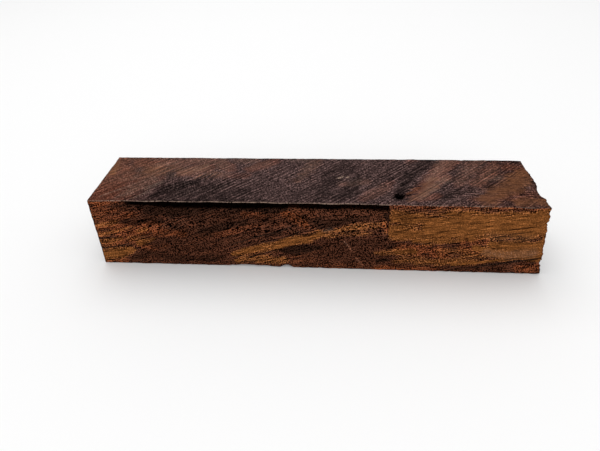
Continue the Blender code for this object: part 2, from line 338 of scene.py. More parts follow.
TOP_RED = (
    (0.75, (0, 3, 7), (4, 12.5, 8), (3, 23, 6)),
    (0.6, (6, 13.4, 1.6), (13, 11.4, 2), (17.6, 8, 1.8)),
    (0.75, (8, 3.4, 3.5), (17, 4, 4), (25, 3, 3)),
    (0.5, (9, 10.4, 2), (15, 9.6, 2.2), (19, 7.4, 1.8)),
    (0.5, (11, 20, 2.2), (14, 15.6, 2.6), (17, 12, 2)),
    (0.5, (12.6, 1.3, 5), (13.4, 9.3, 4.5), (9, 21.3, 4.5)),
    (0.95, (22.6, 9.9, 1.8), (26.6, 7.8, 3), (30.8, 5.7, 2.4)),
    (0.5, (26, 9.4, 2), (31, 8.6, 2.4), (35.4, 10.4, 2.2), (43, 10.4, 2)),
    (0.8, (26, 2, 3), (33, 2.4, 3), (37, 6.4, 2.4)),
    (0.4, (39, 1.4, 2.2), (44, 1.6, 2.2)),
    (0.8, (43.6, 7, 2), (46.8, 4.1, 2.6), (50.2, 2, 2)),
    (0.45, (70.8, 14.6, 1.6), (77.6, 12.8, 1.8)),
    (0.55, (76.8, 21.4, 2), (80.6, 18, 2.6), (84.2, 13.5, 1.8)),
    (0.45, (88, 20.3, 1.2), (89.6, 18.5, 1.5), (91.6, 16.4, 1.2)),
    (0.4, (90.4, 1.6, 1.5), (94, 1, 1.3)),
    (0.9, (91, 18.6, 1.8), (95.6, 11.6, 2.5), (98.4, 7, 2.8), (102.6, 0.5, 2.6)),  # the red band
    (0.8, (91.4, 21.4, 1.4), (96.4, 19.4, 1.6)),
    (0.9, (96.6, 14, 1.8), (100.4, 10, 1.8)),
    (0.3, (102.2, 10.3, 1.2), (108.2, 9.5, 1.6), (113.2, 5.5, 1.8)),
    (0.45, (103, 14, 2), (106.4, 8, 2.6), (110.4, 1, 2.4)),
    (0.45, (106.2, 21.2, 2.4), (116.2, 19.5, 3), (125.2, 17, 3)),
    (0.6, (108, 13, 2.4), (112.6, 8, 2.8), (115, 3.6, 2.4)),
    (0.5, (118.2, 4.5, 2.6), (125.2, 5.5, 2.6)),
)
TOP_DARK = (
    (0.28, (18, 19.5, 0.8), (18.8, 16.4, 0.8), (20.4, 12.6, 1), (20.6, 9.7, 0.9)),
    (0.9, (18.2, 22, 1.1), (21.2, 18.6, 2.4), (24.8, 16, 2.3), (28.7, 14.4, 1.5)),  # the left cloud
    (0.35, (18.8, 9.3, 0.6), (20.8, 6.1, 0.6), (23.2, 3.6, 0.7)),
    (0.6, (19.8, 24.8, 2.2), (26.6, 20.4, 4), (33.4, 17.4, 2.8), (38, 15.4, 1.6)),
    (0.8, (28.8, 13, 0.3), (30.6, 9.5, 0.3)),
    (0.55, (30.2, 23.8, 3), (38.2, 21.2, 3.4), (44.2, 18.6, 2.6)),
    (0.8, (30.6, 13.5, 0.35), (32.6, 9.3, 0.3)),
    (0.7, (32.8, 12.8, 0.3), (34.4, 9.3, 0.25)),
    (0.22, (34.2, 4.9, 1.8), (38.2, 7.6, 3), (40.2, 11.8, 2.6)),
    (0.2, (43.2, 13.8, 2.4), (48.2, 12.8, 3), (52.2, 19.1, 3.4)),
    (0.2, (54.6, 5.5, 1), (55.6, 1.3, 1.2)),
    (0.35, (58.2, 21.2, 3), (64.2, 17.5, 3)),
    (0.5, (64.7, 21.2, 3.4), (68.2, 12.8, 4), (72.2, 3.4, 3.6)),
    (0.62, (70, 21, 2.6), (73.4, 18, 3.1), (75.4, 10, 1.8)),  # the middle cloud
    (0.28, (83.6, 9.4, 1.2), (88.2, 3.4, 2.4), (90.2, 0, 2.4)),
    (1.6, (85.6, 21.1, 1), (86.7, 19.5, 1.3)),  # round the knot hole
    (0.66, (86.6, 18, 1.2), (88.2, 13.6, 1.9), (90.4, 8.6, 2.2)),  # the dark band behind it
    (0.8, (86.8, 21.7, 0.3), (88.6, 21.3, 0.3)),
    (0.85, (87.4, 16.8, 0.4), (89.8, 15.3, 0.5)),
    (0.9, (87.6, 17.7, 0.3), (89.4, 16.9, 0.3)),
    (0.9, (88.6, 19.5, 0.3), (91.4, 18.5, 0.3)),
    (0.9, (89.6, 15.5, 0.35), (93, 14.7, 0.3)),
    (0.56, (91, 9, 2.4), (94.2, 3.6, 2.8), (96.2, 0.6, 2.8)),
    (0.42, (95.8, 4.2, 1.4), (98.6, 1.4, 1.8)),
    (0.55, (97.8, 21, 0.9), (101.4, 17.4, 1.2), (103.6, 15.3, 0.9)),
    (0.16, (98.2, 21.2, 2), (102.8, 14.9, 2.6), (106.2, 6.6, 2.6), (110.2, 1.3, 2.6)),
    (0.6, (101.2, 18.2, 0.3), (102.6, 18.2, 0.25)),
    (0.95, (102.8, 18, 0.22), (105.6, 17.4, 0.26), (109, 18.5, 0.22)),  # hair cracks
    (0.2, (108.4, 1.2, 1.6), (113.6, 1.6, 1.6)),
    (0.5, (118.6, 17.9, 0.25), (120.8, 18.1, 0.25)),
)
TOP_PALE = (
    (0.16, (0, 8, 9), (7, 8, 8), (14, 7, 6), (22, 4, 4.5)),
    (0.15, (0, 1.2, 2), (12, 1.2, 2.2), (22, 1.4, 2)),
    (0.3, (3, 21.8, 0.4), (8, 17.8, 0.5), (12.4, 14, 0.6), (15.6, 11.4, 0.5)),
    (0.2, (6, 13.4, 1.4), (13, 11.4, 1.8), (17.6, 8, 1.6)),
    (0.26, (7.8, 22.6, 0.4), (12, 18.2, 0.5)),
    (0.19, (10, 10.4, 1.8), (15.4, 9.4, 2), (19, 7.6, 1.6)),
    (0.22, (10, 20.4, 1.8), (13.4, 16, 2.2), (16, 12.6, 1.6)),
    (0.26, (12.4, 22.8, 0.4), (16.6, 19.2, 0.4)),
    (0.28, (14.6, 4.6, 1.9), (19.6, 3.4, 1.9)),
    (0.28, (15, 17.4, 1.3), (18, 14.6, 1.3)),
    (0.22, (21.4, 10.4, 1.4), (24, 8.6, 2.4), (29, 6, 2.4)),
    (0.2, (25, 1.6, 2.6), (33, 2.6, 2.8), (36, 6, 2)),
    (0.16, (26.6, 9.2, 1.8), (31.4, 8.6, 2.2), (36, 10.2, 2)),
    (0.16, (38.6, 1.4, 2), (43.6, 1.6, 2)),
    (0.13, (44.2, 5.5, 1.6), (48.2, 3.4, 1.8)),
    (0.14, (56, 1, 1.8), (60, 1, 1.6)),
    (0.1, (59.2, 10.7, 1.5), (61.7, 3.4, 2)),
    (0.9, (69.7, 11.2, 0.32), (71, 10.6, 0.4)),  # pale flecks
    (0.12, (70.8, 14.4, 1.4), (77.6, 12.8, 1.6)),
    (1, (72.2, 10.8, 0.3), (72.7, 10.4, 0.3)),
    (0.08, (78.2, 20.1, 2), (82.2, 16, 2.2)),
    (0.2, (92, 20.6, 1.2), (96.6, 14.4, 1.6), (100.4, 10, 1.6)),
    (0.22, (95, 12, 1.4), (98, 7.6, 2), (101.4, 1.4, 2.4)),
    (0.3, (97, 13.6, 1.4), (100, 11.8, 1.4)),
    (0.16, (103.6, 13, 2), (106.8, 7, 2.6), (110.8, 1, 2.4)),
    (0.16, (108, 12.6, 2), (112.6, 8, 2.4), (115, 3.6, 2)),
    (0.22, (110.8, 10.8, 1.5), (114.6, 9.6, 1.5)),
)
TOP_WOOLLY = (
    (0.2, (0, 10, 16), (24, 12, 14)),
    (0.5, (25, 13, 9), (33, 12, 9)),
    (0.8, (87.8, 19.6, 1.3), (89.4, 18, 1.5), (92, 15.6, 1.1)),
)
TOP_COMBED = (
    (1, (102, 20, 2), (110, 19, 3.4), (118, 17, 5), (126, 12, 8)),
)
TOP_STREAKS = {"gold": TOP_GOLD, "red": TOP_RED, "dark": TOP_DARK,
               "pale": TOP_PALE, "woolly": TOP_WOOLLY, "combed": TOP_COMBED}

# Dark lines of the front face. Each follows the layer that it meets at one place, between two
# places along the stick: start, end, that place, how far down it lies there, half width, strength.
FRONT_LINES = (
    (-6, 6.5, 2.6, 13, 0.24, 1),
    (-6, 6, 1.5, 10.6, 0.22, 0.9),
    (-6, 12, 5, 16, 0.26, 1),
    (2, 12, 7, 4.9, 0.18, 0.5),
    (4.5, 12.5, 8.3, 7.5, 0.22, 0.8),
    (7, 15, 11, 10.2, 0.2, 0.6),
    (9, 15, 12, 8.9, 0.24, 0.7),
    (11.5, 18, 14.5, 12, 0.24, 0.8),
    (16, 29, 22, 10.6, 0.2, 0.5),
    (17, 30, 23, 6.4, 0.22, 0.8),
    (18, 31, 24, 7.4, 0.22, 0.8),
    (18, 33, 25.5, 7.9, 0.2, 0.7),
    (33, 50, 42, 10.8, 0.2, 0.7),
    (35, 61, 48, 11.55, 0.26, 1),
    (36, 49, 42, 15.1, 0.2, 0.6),
    (37, 47, 42, 12.3, 0.18, 0.5),
    (41, 55, 48, 18, 0.26, 0.7),
    (45, 60, 52, 12.6, 0.24, 0.8),
    (84.4, 90.4, 87.4, 6.2, 0.22, 0.6),
    (84.4, 89.8, 87, 8.6, 0.22, 0.6),
    (85, 90, 87.5, 2.9, 0.22, 0.6),
    (86, 92.5, 89.3, 4.3, 0.24, 0.7),
    (87.6, 93.4, 90.6, 6.7, 0.2, 0.6),
    (90, 97, 93.5, 12.9, 0.26, 0.9),
    (93, 103, 98, 3.2, 0.22, 0.8),
    (96.2, 100.4, 98.3, 8.4, 0.22, 0.7),
    (104, 131, 117, 18.75, 0.34, 1),
    (104.4, 108.6, 106.4, 5.2, 0.26, 0.7),
    (108, 130, 119, 17.5, 0.16, 0.6),
    (108.4, 111.6, 110, 6.1, 0.22, 0.5),
    (114.6, 122.4, 118.4, 6.5, 0.22, 0.8),
    (115.6, 123, 119.2, 7.9, 0.2, 0.7),
    (116.6, 122.4, 119.5, 10.2, 0.18, 0.5),
    (124, 130, 127, 8.6, 0.2, 0.6),
)


def ramp(start, end, value):
    """Goes smoothly from 0 at start to 1 at end: 3t^2 - 2t^3, with t the share of the way."""
    t = np.clip((value - start) / (end - start), 0.0, 1.0)
    return t * t * (3.0 - 2.0 * t)


def bell(value, middle, reach):
    """Height 1 at middle, falling to 0 at reach on either side: (1 - t^2)^2."""
    t = np.minimum(np.abs(value - middle) / reach, 1.0)
    return (1.0 - t * t) ** 2


def waves(value, shift):
    """The saw's shallow waves at a place along the stick: the sum of a sine for each of them."""
    return sum(height * np.sin(2.0 * np.pi * value / size + phase + shift)
               for size, height, phase in SAW_WAVES)


def lattice(cell, seed):
    """Random numbers from 0 to 1 for whole-number cells, made by mixing the bits of their indices.

    Each index is multiplied by a large odd number, and the sum is folded onto its own upper bits.
    """
    mixed = (cell @ np.array(CELL_MIX) + seed * SEED_MIX) & 0xFFFFFFFF
    mixed = ((mixed ^ (mixed >> 13)) * BIT_MIX) & 0xFFFFFFFF
    return ((mixed ^ (mixed >> 16)) & 0xFFFF) / 65535.0


def roughness(places, size, seed):
    """Smooth noise from -1 to 1: lattice numbers blended between a cell's eight corners.

    places has one row of x, y, z in mm, and size is the cell's size along the three axes.
    """
    scaled = places / np.asarray(size)
    cell = np.floor(scaled).astype(np.int64)
    t = scaled - cell
    t = t * t * (3.0 - 2.0 * t)
    total = np.zeros(len(places))
    for corner in np.ndindex(2, 2, 2):
        weight = np.prod(np.where(corner, t, 1.0 - t), axis=1)
        total += weight * lattice(cell + np.array(corner), seed)
    return 2.0 * total - 1.0


def layer_rise(along):
    """How far the layers have risen at a place along the stick: the sum of their slope so far."""
    step = 0.25
    table = np.arange(-60.0, 160.0, step)
    left = ramp(*LEFT_FROM, table) * (1.0 - ramp(*LEFT_TO, table))
    slope = RISE_ENDS + RISE_LEFT * left + RISE_SWEEP * bell(table, SWEEP_AT, SWEEP_REACH)
    rise = np.cumsum(slope) * step
    return np.interp(along, table, rise - np.interp(0.0, table, rise))


def grain_layer(along, down, back):
    """Which layer of the wood a point lies in: its depth plus the rise of the layers there."""
    return down + layer_rise(along - LAYER_DRIFT * back)


def block_skin(cells):
    """Grid places and quads on the six sides of a block, which share their points along the arrises.

    A side is the plane of grid points (a, b) at one end of the third axis, in cyclic order, so
    that its quads face outwards. A grid place (i, j, k) has the number (i * nj + j) * nk + k.
    """
    counts = np.array(cells) + 1
    sides = []
    for axis in range(3):
        a, b = (axis + 1) % 3, (axis + 2) % 3
        across, up = np.meshgrid(np.arange(counts[a]), np.arange(counts[b]), indexing="ij")
        for end in (0, 1):
            place = np.zeros(across.shape + (3,), dtype=np.int64)
            place[..., a], place[..., b], place[..., axis] = across, up, end * cells[axis]
            number = (place[..., 0] * counts[1] + place[..., 1]) * counts[2] + place[..., 2]
            corners = (number[:-1, :-1], number[1:, :-1], number[1:, 1:], number[:-1, 1:])
            quads = np.stack(corners, axis=-1).reshape(-1, 4)
            sides.append(quads if end else quads[:, ::-1])
    used, quads = np.unique(np.concatenate(sides), return_inverse=True)
    row, at_end = used // counts[2], used % counts[2]
    return np.stack([row // counts[1], row % counts[1], at_end], axis=1), quads.reshape(-1, 4)


def stations(low, high, extra=()):
    """Places of the grid along one axis: even cells, closer at both ends, with any extra ones.

    An even place gives way to an extra one that is closer than a quarter of a cell.
    """
    near = np.array(ARRIS_POINTS)
    first, last = low + near[-1] + CELL * 0.8, high - near[-1] - CELL * 0.8
    even = np.linspace(first, last, max(2, round((last - first) / CELL)))
    for place in extra:
        even = even[np.abs(even - place) > CELL * 0.25]
    return np.unique(np.concatenate([low + near, even, np.array(extra), high - near]))


def shave(points, direction, reach):
    """Planes off what lies beyond reach along a direction, by moving it back onto that plane."""
    over = np.maximum(points @ direction - reach, 0.0)
    return points - over[:, None] * direction


def worn_arrises(points, size, wear):
    """Takes the sharpness off the twelve arrises: each is planed at 45 degrees, more in places.

    The reach of a plane is the distance of the sharp arris from the middle, less the wear, which
    follows a coarse noise, a fine noise and scattered nibbles. The thin lip loses less.
    """
    middle = np.array([0.0, 0.0, size[2] / 2])
    coarse = roughness(points, (5.0, 5.0, 5.0), 11)
    fine = roughness(points, (0.9, 0.9, 0.9), 12)
    nibbles = ramp(0.45, 0.9, roughness(points, (1.6, 1.6, 1.6), 13))
    amount = wear * (0.55 + 0.3 * coarse + 0.25 * fine + 0.9 * nibbles)
    lip = 1.0 - ramp(SEAM_X - 0.4, SEAM_X + 0.6, points[:, 0])
    for a, b in ((0, 1), (1, 2), (0, 2)):
        for sign_a in (-1.0, 1.0):
            for sign_b in (-1.0, 1.0):
                direction = np.zeros(3)
                direction[a], direction[b] = sign_a, sign_b
                direction /= math.sqrt(2.0)
                corner = (size[a] + size[b]) / 2 / math.sqrt(2.0)
                spared = 0.6 * lip * (direction[1] < 0.0 < direction[2])
                reach = corner - amount * (1.0 - spared)
                points = shave(points - middle, direction, reach) + middle
    return points


def chipped_foot(points, size, mm):
    """Planes the long chip and the splinter off the lower front arris, under a slanted plane.

    The plane meets the front face at a height that is the sum of two bells, crumbs and nibbles.
    """
    x = points[:, 0]
    height = mm["chip"] * bell(x, CHIP_X, CHIP_REACH)
    height += mm["splinter"] * bell(x, SPLINTER_X, SPLINTER_REACH)
    crumbs = ramp(0.1, 0.7, roughness(points, (3.5, 3.5, 3.5), 21))
    nibbles = np.maximum(roughness(points, (0.8, 3.0, 3.0), 23), 0.0)
    height += 0.2 * crumbs + 0.16 * nibbles
    height *= 1.0 + 0.25 * roughness(points, (1.3, 1.3, 1.3), 22)
    direction = np.array([0.0, -1.0, -CHIP_SLANT])
    direction /= np.linalg.norm(direction)
    corner = np.array([0.0, -size[1] / 2, 0.0])
    reach = -height * CHIP_SLANT / math.hypot(1.0, CHIP_SLANT)
    return shave(points - corner, direction, reach) + corner


def cut_depth(x, z, mm, height):
    """How far the front face is cut back left of the saw's seam, under the lip.

    The full depth, faded in along the stick, ended at the seam, and faded out down to its foot.
    """
    along = ramp(CUT_START, CUT_START + CUT_RUN, x)
    along *= 1.0 - ramp(SEAM_X - SEAM_HALF, SEAM_X + SEAM_HALF, x)
    down = ramp(height - CUT_FOOT, height - CUT_FULL, z)
    return mm["cut"] * along * down


def end_setback(x, y, z, mm, size):
    """How far the right end stands back.

    It is the sum of its lean with height, its skew with depth, the bite, the notch, the ledge and
    torn grain.
    """
    points = np.stack([x * 0.0, y, z], axis=1)
    lean = mm["lean"] * z / size[2]
    skew = mm["skew"] * (y + size[1] / 2) / size[1]
    bite = mm["bite"] * bell(y, BITE_Y, BITE_REACH) * ramp(size[2] - BITE_HEIGHT, size[2], z)
    near_front = 1.0 - ramp(-size[1] / 2, -size[1] / 4, y)
    notch = NOTCH_DEPTH * bell(z, NOTCH_Z, NOTCH_REACH) * near_front
    ledge = LEDGE_DEPTH * bell(z, LEDGE_Z, LEDGE_REACH)
    torn = 0.2 * (1.0 + roughness(points, (1.0, 2.6, 0.9), 31))
    torn += 0.24 * roughness(points, (1.0, 0.9, 0.45), 32)
    return lean + skew + bite + notch + ledge + np.maximum(torn, 0.0)


def stick_skin(mm):
    """The stick's skin, as places on the finished stick, places on the plain bar, and quads.

    Each point of the plain bar's grid moves by the sum of what was done to the stick there: the
    lip's wander, the top's crown and rubbed corner, the saw's waves, torn grain, the knot hole,
    the deeper cut, the nick, the chips, the wear of the arrises and last the rough end. mm holds
    every size in millimetres by its name.
    """
    size = (mm["stick"], mm["width"], mm["height"])
    lip_at = size[2] - mm["lip"]
    along = stations(-size[0] / 2, size[0] / 2, SEAM_POINTS)
    across = stations(-size[1] / 2, size[1] / 2)
    up = stations(0.0, size[2], (lip_at - LIP_HALF, lip_at + LIP_HALF))
    places, quads = block_skin((len(along) - 1, len(across) - 1, len(up) - 1))
    plain = np.stack([along[places[:, 0]], across[places[:, 1]], up[places[:, 2]]], axis=1)
    x, y, z = plain.T
    out = plain.copy()

    at_top = ramp(size[2] / 2, size[2], z)
    at_front = ramp(0.0, -size[1] / 2, y)
    at_back = ramp(0.0, size[1] / 2, y)
    on_top = (z > size[2] - TOUCH) * 1.0
    on_front = (y < -size[1] / 2 + TOUCH) * 1.0

    # the lip wanders up and down by a little
    lip_wave = 0.13 * roughness(plain, (2.6, 99.0, 99.0), 41)
    lip_wave += 0.07 * roughness(plain, (0.8, 99.0, 99.0), 42)
    out[:, 2] += lip_wave * bell(z, lip_at, mm["lip"]) * on_front

    crown = mm["crown"] * (1.0 - (2.0 * x / size[0]) ** 2) * (0.35 + 0.65 * at_front)
    rubbed = RUBBED_DROP * ramp(size[0] / 2 - RUBBED_RUN, size[0] / 2, x) * at_back
    out[:, 2] += (crown + waves(x + y, 0.0) - rubbed) * at_top
    tear = ramp(0.2, 0.8, roughness(plain, (2.4, 1.6, 1.2), 51))
    tear *= ramp(-0.2, 0.5, roughness(plain, (12.0, 9.0, 9.0), 52))
    knot = mm["knot"] * bell(x, KNOT_X, KNOT_REACH[0]) * bell(y, KNOT_Y, KNOT_REACH[1])
    out[:, 2] -= (knot + mm["tear"] * tear) * on_top

    above_sole = ramp(0.0, size[2] / 4, z)
    cut = cut_depth(x, z, mm, size[2]) * (z < lip_at) * on_front
    out[:, 1] += waves(x + z, 2.0) * above_sole * at_front + cut
    out[:, 1] += mm["tear"] * tear * on_front * above_sole
    out[:, 1] -= waves(x - z, 4.0) * above_sole * at_back

    nick = NICK_DEPTH * bell(x, NICK_X, NICK_REACH[0])
    nick *= bell(y, -size[1] / 2, NICK_REACH[1]) * bell(z, size[2], NICK_REACH[2])
    out[:, 2] -= nick
    out[:, 1] += nick

    out = chipped_foot(out, size, mm)
    out = worn_arrises(out, size, mm["arris"])
    out[:, 0] -= end_setback(x, y, z, mm, size) * ramp(size[0] / 2 - END_RUN, size[0] / 2, x)
    out[:, 2] = np.maximum(out[:, 2], 0.0)
    return out, plain, quads


def from_corner(plain, size):
    """Places along from the left end, back from the front face, and down from the top face."""
    return plain[:, 0] + size[0] / 2, plain[:, 1] + size[1] / 2, size[2] - plain[:, 2]


def face_shares(plain, size):
    """How much each point belongs to the top, to the front, to the ends and to the worn arris.

    The borders are soft. The worn arris is the upper front one: a thin strip of both its faces,
    frayed by noise, and fainter right of the seam.
    """
    x, y, z = plain.T
    top = ramp(size[2] - 0.35, size[2] - 0.02, z)
    front = ramp(-size[1] / 2 + 0.35, -size[1] / 2 + 0.02, y) * (1.0 - top)
    ends = ramp(size[0] / 2 - 0.3, size[0] / 2 - 0.02, np.abs(x))
    corner = np.maximum(size[2] - z, y + size[1] / 2) + 0.1 * roughness(plain, (1.6, 9.0, 9.0), 91)
    right_of_seam = ramp(SEAM - 0.5, SEAM + 1.0, x + size[0] / 2)
    worn = (1.0 - ramp(0.02, 0.17, corner)) * (1.0 - 0.4 * right_of_seam)
    return top * (1.0 - ends), front * (1.0 - ends), ends, worn


def from_path(along, across, path):
    """Distance of every point from a streak's middle line, as a share of the half width there.

    Each leg gives the distance to its nearest place, found by projecting onto the leg, and the
    smallest over the legs counts.
    """
    nearest = np.full(len(along), np.inf)
    for (u0, v0, w0), (u1, v1, w1) in zip(path[:-1], path[1:]):
        leg = (u1 - u0, v1 - v0)
        t = ((along - u0) * leg[0] + (across - v0) * leg[1]) / (leg[0] ** 2 + leg[1] ** 2)
        t = np.clip(t, 0.0, 1.0)
        gap = np.hypot(along - u0 - t * leg[0], across - v0 - t * leg[1])
        nearest = np.minimum(nearest, gap / (w0 + t * (w1 - w0)))
    return nearest


def painted_tones(plain, layer, size):
    """Tone of every point: the strongest of the streaks of that tone which reach it.

    A streak's share falls smoothly from its strength at 0.3 half widths to 0 at 1.5 of them. The
    distance is frayed by noise along the grain, and a streak fades as it goes under its face.
    """
    along, back, down = from_corner(plain, size)
    grain = np.stack([along, layer, back], axis=1)
    fray = 0.30 * roughness(grain, (5.0, 0.9, 1.6), 61)
    fray += 0.22 * roughness(plain, (1.2, 1.0, 0.8), 62)
    tones = {name: np.zeros(len(plain)) for name in ("gold", "red", "dark", "pale", "woolly", "combed")}
    for face, across, depth in ((FRONT_STREAKS, down, back), (TOP_STREAKS, size[1] - back, down)):
        for tone, streaks in face.items():
            for amount, *path in streaks:
                narrow = min(1.0, sum(half_width for *_, half_width in path) / len(path))
                radius = from_path(along, across, path) + fray * narrow
                radius += 0.25 * np.maximum(depth, 0.0)
                share = amount * (1.0 - ramp(0.3, 1.5, radius))
                tones[tone] = np.maximum(tones[tone], share)

    # the saw's seam: duller wood left of it, and a fine dark line down it
    upper_front = (back < TOUCH) * (1.0 - ramp(CUT_FOOT - 1.0, CUT_FOOT + 1.0, down))
    duller = ramp(SEAM - 9.5, SEAM - 0.5, along) * (1.0 - ramp(SEAM, SEAM + 0.2, along))
    tones["gold"] *= 1.0 - 0.5 * duller * upper_front
    seam = upper_front * ramp(0.6, 1.4, down) * bell(along, SEAM, SEAM_LINE_REACH)
    tones["dark"] = np.maximum(tones["dark"], 0.75 * seam)
    return tones


def lip_painted_shade(plain, size):
    """Painted shadow in the corner under the lip: thick on the left, thinner past mid length.

    It is full just under the lip and fades out at a depth read between a few places along the
    stick, which wanders by two noises.
    """
    along, back, down = from_corner(plain, size)
    wander = roughness(plain, (2.2, 99.0, 99.0), 81) + 0.6 * roughness(plain, (0.7, 99.0, 99.0), 82)
    deep = np.interp(along, list(LIP_SHADE), list(LIP_SHADE.values())) + 0.24 * wander
    reach = ramp(LIP_SHADE_START, LIP_SHADE_START + 3.0, along)
    reach *= 1.0 - ramp(SEAM - 0.2, SEAM + 0.2, along)
    band = ramp(0.08, 0.2, down) * (1.0 - ramp(deep * 0.7, deep, down))
    return reach * band * (back < TOUCH)


def layer_tones(layer):
    """Tones that belong to the layers themselves, each read between its named levels."""
    return {tone: np.interp(layer, LAYER_LEVELS, shares) for tone, shares in LAYER_TONES.items()}


def attribute(mesh, name, kind, field, values):
    """Stores one row of numbers per point in the mesh."""
    made = mesh.attributes.new(name, kind, "POINT")
    made.data.foreach_set(field, np.ascontiguousarray(values, dtype=np.float32).ravel())


def stick_mesh(sizes):
    """The finished mesh, with its grain coordinates, its tones and the face each point belongs to.

    A tone is the stronger of its streaks and of its layers, which fade out near the painted faces.
    """
    mm = {name: getattr(sizes, name) / MM for name in KoaSizes.__annotations__}
    size = np.array([mm["stick"], mm["width"], mm["height"]])
    skin, plain, quads = stick_skin(mm)
    mesh = bpy.data.meshes.new(PIECE)
    mesh.from_pydata(skin * MM, [], quads)
    mesh.update()
    mesh.shade_smooth()

    along, back, down = from_corner(plain, size)
    curl = 0.55 * roughness(plain, (13.0, 9.0, 8.0), 71) + 0.22 * roughness(plain, (4.5, 3.5, 3.0), 72)
    layer = grain_layer(along, down, back) + curl
    attribute(mesh, "grain", "FLOAT_VECTOR", "vector", np.stack([along, layer, back], axis=1))

    inside = 0.15 + 0.85 * ramp(0.5, 6.0, np.minimum(back, down))
    streaks, layers = painted_tones(plain, layer, size), layer_tones(layer)
    dark = np.maximum(streaks["dark"], 0.6 * inside * layers["dark"])
    gold = np.maximum(streaks["gold"], 0.8 * inside * layers["gold"]) - 0.7 * streaks["dark"]
    red = np.maximum(streaks["red"], 0.7 * inside * layers["red"])
    tones = np.stack([gold, red, dark, streaks["pale"]], axis=1)
    attribute(mesh, "tone", "FLOAT_COLOR", "color", tones)
    top, front, ends, worn = face_shares(plain, size)
    attribute(mesh, "face", "FLOAT_COLOR", "color", np.stack([top, front, ends, worn], axis=1))

    # clearness of the saw's lines, the top's grey with its painted sheen, painted shade of lip and hole
    sawn = top * (0.74 + 0.26 * ramp(*SAWN_CLEAR, along) - 0.16 * ramp(*SAWN_WORN, along))
    sawn *= 1.0 - np.minimum(streaks["combed"], 1.0)
    # the top's grey: weathered skin and a painted sheen
    greyed_and_sheen = top * (0.24 + 0.20 * ramp(*GREY_FROM, along) * (1.0 - ramp(*GREY_TO, along)))
    greyed_and_sheen *= 1.0 - 0.8 * ramp(0.6, 1.0, streaks["woolly"])
    # painted shade inside the knot hole
    hole = bell(along, *HOLE_ALONG) * bell(back, *HOLE_BACK)
    hole *= 1.0 + 0.6 * roughness(plain, (0.8, 0.8, 9.0), 95)
    # painted shade: the corner under the lip and the inside of the knot hole
    gap = np.maximum(lip_painted_shade(plain, size), top * np.minimum(2.5 * hole, 1.0))
    finish_sheen_and_shade = np.stack([streaks["woolly"], sawn, greyed_and_sheen, gap], axis=1)
    attribute(mesh, "finish_sheen_and_shade", "FLOAT_COLOR", "color", finish_sheen_and_shade)
    return mesh


class Value:
    """A number on its way through the shader. Arithmetic on it adds Math nodes."""

    def __init__(self, recipe, socket):
        self.recipe = recipe
        self.socket = socket

    def maths(self, operation, first, second):
        """A Math node fed by two numbers or values."""
        return self.recipe.node("ShaderNodeMath", {"operation": operation}, {0: first, 1: second})

    def __add__(self, other):
        return self.maths("ADD", self, other)

    def __sub__(self, other):
        return self.maths("SUBTRACT", self, other)

    def __rsub__(self, other):
        return self.maths("SUBTRACT", other, self)

    def __mul__(self, other):
        return self.maths("MULTIPLY", self, other)

    def __abs__(self):
        return self.maths("ABSOLUTE", self, 0.0)

    __radd__ = __add__
    __rmul__ = __mul__


class Recipe:
    """Builds a material's nodes."""

    def __init__(self, name):
        self.material = bpy.data.materials.new(name)
        self.material.use_nodes = True
        self.tree = self.material.node_tree
        self.shader = self.tree.nodes["Principled BSDF"]

    def node(self, kind, settings, values, output=0):
        """Adds a node: its settings first, then the values or links of its sockets."""
        made = self.tree.nodes.new(kind)
        for name, setting in settings.items():
            setattr(made, name, setting)
        for name, value in values.items():
            if isinstance(value, Value):
                self.tree.links.new(value.socket, made.inputs[name])
            else:
                made.inputs[name].default_value = value
        return Value(self, made.outputs[output])

    def feed(self, name, value):
        """Links a value or colour to a socket of the material's shader."""
        self.tree.links.new(value.socket, self.shader.inputs[name])

    def axes(self, vector, kind="ShaderNodeSeparateXYZ"):
        """The three numbers of a vector."""
        parts = self.node(kind, {}, {0: vector}).socket.node.outputs
        return [Value(self, part) for part in parts]

    def channels(self, attribute_name):
        """The four numbers of a point's attribute."""
        colours = self.node("ShaderNodeAttribute", {"attribute_name": attribute_name}, {})
        alpha = Value(self, colours.socket.node.outputs["Alpha"])
        return self.axes(colours, "ShaderNodeSeparateColor") + [alpha]

    def stretched(self, vector, turn, sizes):
        """Coordinates turned about each axis and divided by the sizes of a feature."""
        return self.node("ShaderNodeMapping", {"vector_type": "TEXTURE"},
                         {"Vector": vector, "Rotation": turn, "Scale": sizes})

    def noise(self, vector, sizes, detail=1.0, rough=0.5, offset=0.0, turn=(0, 0, 0)):
        """Noise from 0 to 1 with features of the given sizes, in coordinates turned by an angle."""
        place = self.node("ShaderNodeVectorMath", {"operation": "ADD"},
                          {0: self.stretched(vector, turn, sizes), 1: (offset, offset, offset)})
        return self.node("ShaderNodeTexNoise", {"normalize": True},
                         {"Vector": place, "Scale": 1.0, "Detail": detail, "Roughness": rough})

    def between(self, value, low, high, start=0.0, end=1.0):
        """Goes smoothly from start at low to end at high."""
        limits = {"From Min": low, "From Max": high, "To Min": start, "To Max": end}
        return self.node("ShaderNodeMapRange", {"interpolation_type": "SMOOTHSTEP"},
                         {"Value": value, **limits})

    def mix(self, share, under, over):
        """Mixes two colours."""
        return self.node("ShaderNodeMix", {"data_type": "RGBA"}, {0: share, 6: under, 7: over}, 2)

    def dimmed(self, colour_value, factor):
        """Multiplies a colour by a number."""
        return self.node("ShaderNodeVectorMath", {"operation": "SCALE"},
                         {0: colour_value, "Scale": factor})


def rgba(colour_property):
    """A colour property with full alpha."""
    return (*colour_property, 1.0)


